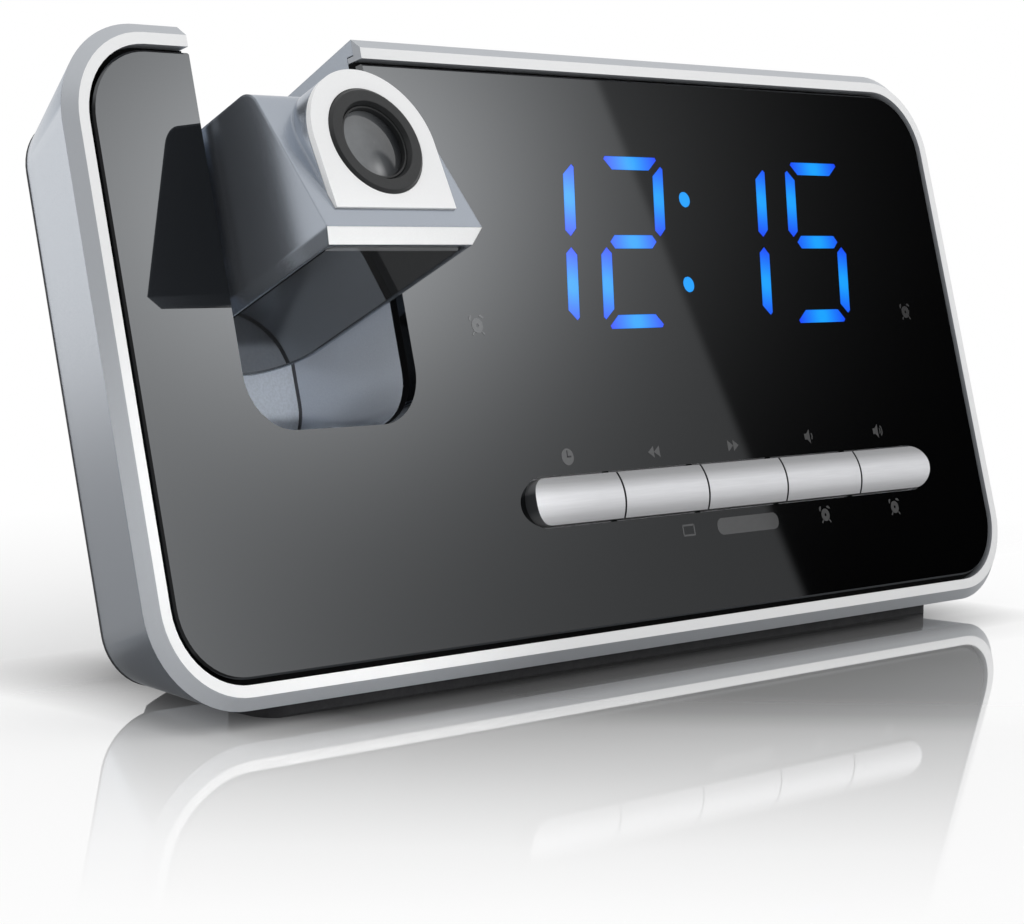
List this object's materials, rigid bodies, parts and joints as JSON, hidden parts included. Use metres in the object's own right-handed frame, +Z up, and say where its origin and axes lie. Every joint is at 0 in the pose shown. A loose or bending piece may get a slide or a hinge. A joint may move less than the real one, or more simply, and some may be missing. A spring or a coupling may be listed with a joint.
{
  "type": "projection alarm clock",
  "caption": "Projection alarm clock: leaning wide display with a slim key bar and a projector head that folds into a notch at its top left.",
  "frame": {"origin": "on the floor under the middle of the front face, on the underside of the front foot", "axes": "+X to the right along the width, +Y to the back, +Z up"},
  "size_m": [0.19, 0.0574, 0.0933],
  "materials": {
    "panel_black": "high gloss",
    "carrier_black": "matte",
    "white_bezel": "satin",
    "silver_body": "satin silver paint",
    "dark_cover": "fine matte",
    "screw_steel": "zinc",
    "cell_wrap": "printed sleeve",
    "contact_metal": "nickel",
    "lit_blue": "clear light guide",
    "module_white": "matte",
    "board_green": "solder mask",
    "switch_grey": "matte",
    "key_silver": "satin silver paint",
    "speaker_black": "matte",
    "jack_black": "matte",
    "foot_rubber": "matte rubber",
    "bush_acetal": "self-lubricating plastic",
    "ring_black": "fine matte",
    "lens_glass": "coated glass",
    "lcd_grey": "smoked glass",
    "led_cream": "gloss",
    "pin_steel": "ground"
  },
  "bodies": {
    "clock_body": {"front_panel": "panel_black", "front_carrier": "carrier_black", "bezel": "white_bezel", "main_housing": "silver_body", "rear_cover": "dark_cover", "rear_screws": "screw_steel", "backup_cells": "cell_wrap", "battery_contacts": "contact_metal", "display_segments": "lit_blue", "led_module": "module_white", "display_board": "board_green", "key_board": "board_green", "tact_switches": "switch_grey", "speaker": "speaker_black", "main_board": "board_green", "board_screws": "screw_steel", "power_jack": "jack_black", "front_foot": "foot_rubber", "rear_feet": "foot_rubber", "pivot_bushes": "bush_acetal"},
    "projector_head": {"head_shell": "silver_body", "head_carrier": "carrier_black", "head_plate": "panel_black", "lens_surround": "white_bezel", "optic_tube": "ring_black", "lcd_cell": "lcd_grey", "condenser_lens": "lens_glass", "lamp_board": "board_green", "projector_led": "led_cream", "left_pivot_pin": "pin_steel", "right_pivot_pin": "pin_steel"},
    "focus_control": {"focus_ring": "ring_black"},
    "lens_carriage": {"lens_barrel": "ring_black", "projector_lens": "lens_glass"},
    "battery_cover": {"battery_door": "dark_cover"},
    "clock_key": {"clock_button": "key_silver"},
    "back_key": {"back_button": "key_silver"},
    "forward_key": {"forward_button": "key_silver"},
    "quieter_key": {"quieter_button": "key_silver"},
    "louder_key": {"louder_button": "key_silver"}
  },
  "joints": [
    {"name": "head_tilt", "type": "hinge", "parent": "clock_body", "child": "projector_head", "pos_m": [-0.05705, 0.01548, 0.06141], "axis": [1, 0, 0], "range_deg": [-78.4, 0.5]},
    {"name": "focus_turn", "type": "hinge", "parent": "projector_head", "child": "focus_control", "pos_m": [-0.05705, -0.00927, 0.07793], "axis": [0, -0.892, 0.452], "range_deg": [-60, 60]},
    {"name": "lens_slide", "type": "slide", "parent": "projector_head", "child": "lens_carriage", "axis": [0, -0.892, 0.452], "range_m": [-0.0006, 0.0006]},
    {"name": "battery_cover_lift", "type": "slide", "parent": "clock_body", "child": "battery_cover", "axis": [0, 0.9647, -0.2634], "range_m": [0, 0.02]},
    {"name": "clock_press", "type": "slide", "parent": "clock_body", "child": "clock_key", "axis": [0, 0.9647, -0.2634], "range_m": [0, 0.0005], "stiffness_N_per_m": 600, "springref_m": -0.0008},
    {"name": "back_press", "type": "slide", "parent": "clock_body", "child": "back_key", "axis": [0, 0.9647, -0.2634], "range_m": [0, 0.0005], "stiffness_N_per_m": 600, "springref_m": -0.0008},
    {"name": "forward_press", "type": "slide", "parent": "clock_body", "child": "forward_key", "axis": [0, 0.9647, -0.2634], "range_m": [0, 0.0005], "stiffness_N_per_m": 600, "springref_m": -0.0008},
    {"name": "quieter_press", "type": "slide", "parent": "clock_body", "child": "quieter_key", "axis": [0, 0.9647, -0.2634], "range_m": [0, 0.0005], "stiffness_N_per_m": 600, "springref_m": -0.0008},
    {"name": "louder_press", "type": "slide", "parent": "clock_body", "child": "louder_key", "axis": [0, 0.9647, -0.2634], "range_m": [0, 0.0005], "stiffness_N_per_m": 600, "springref_m": -0.0008}
  ],
  "couplings": [
    {"joint": "focus_turn", "follows": "lens_slide", "rad_per_m": 1745.3}
  ]
}
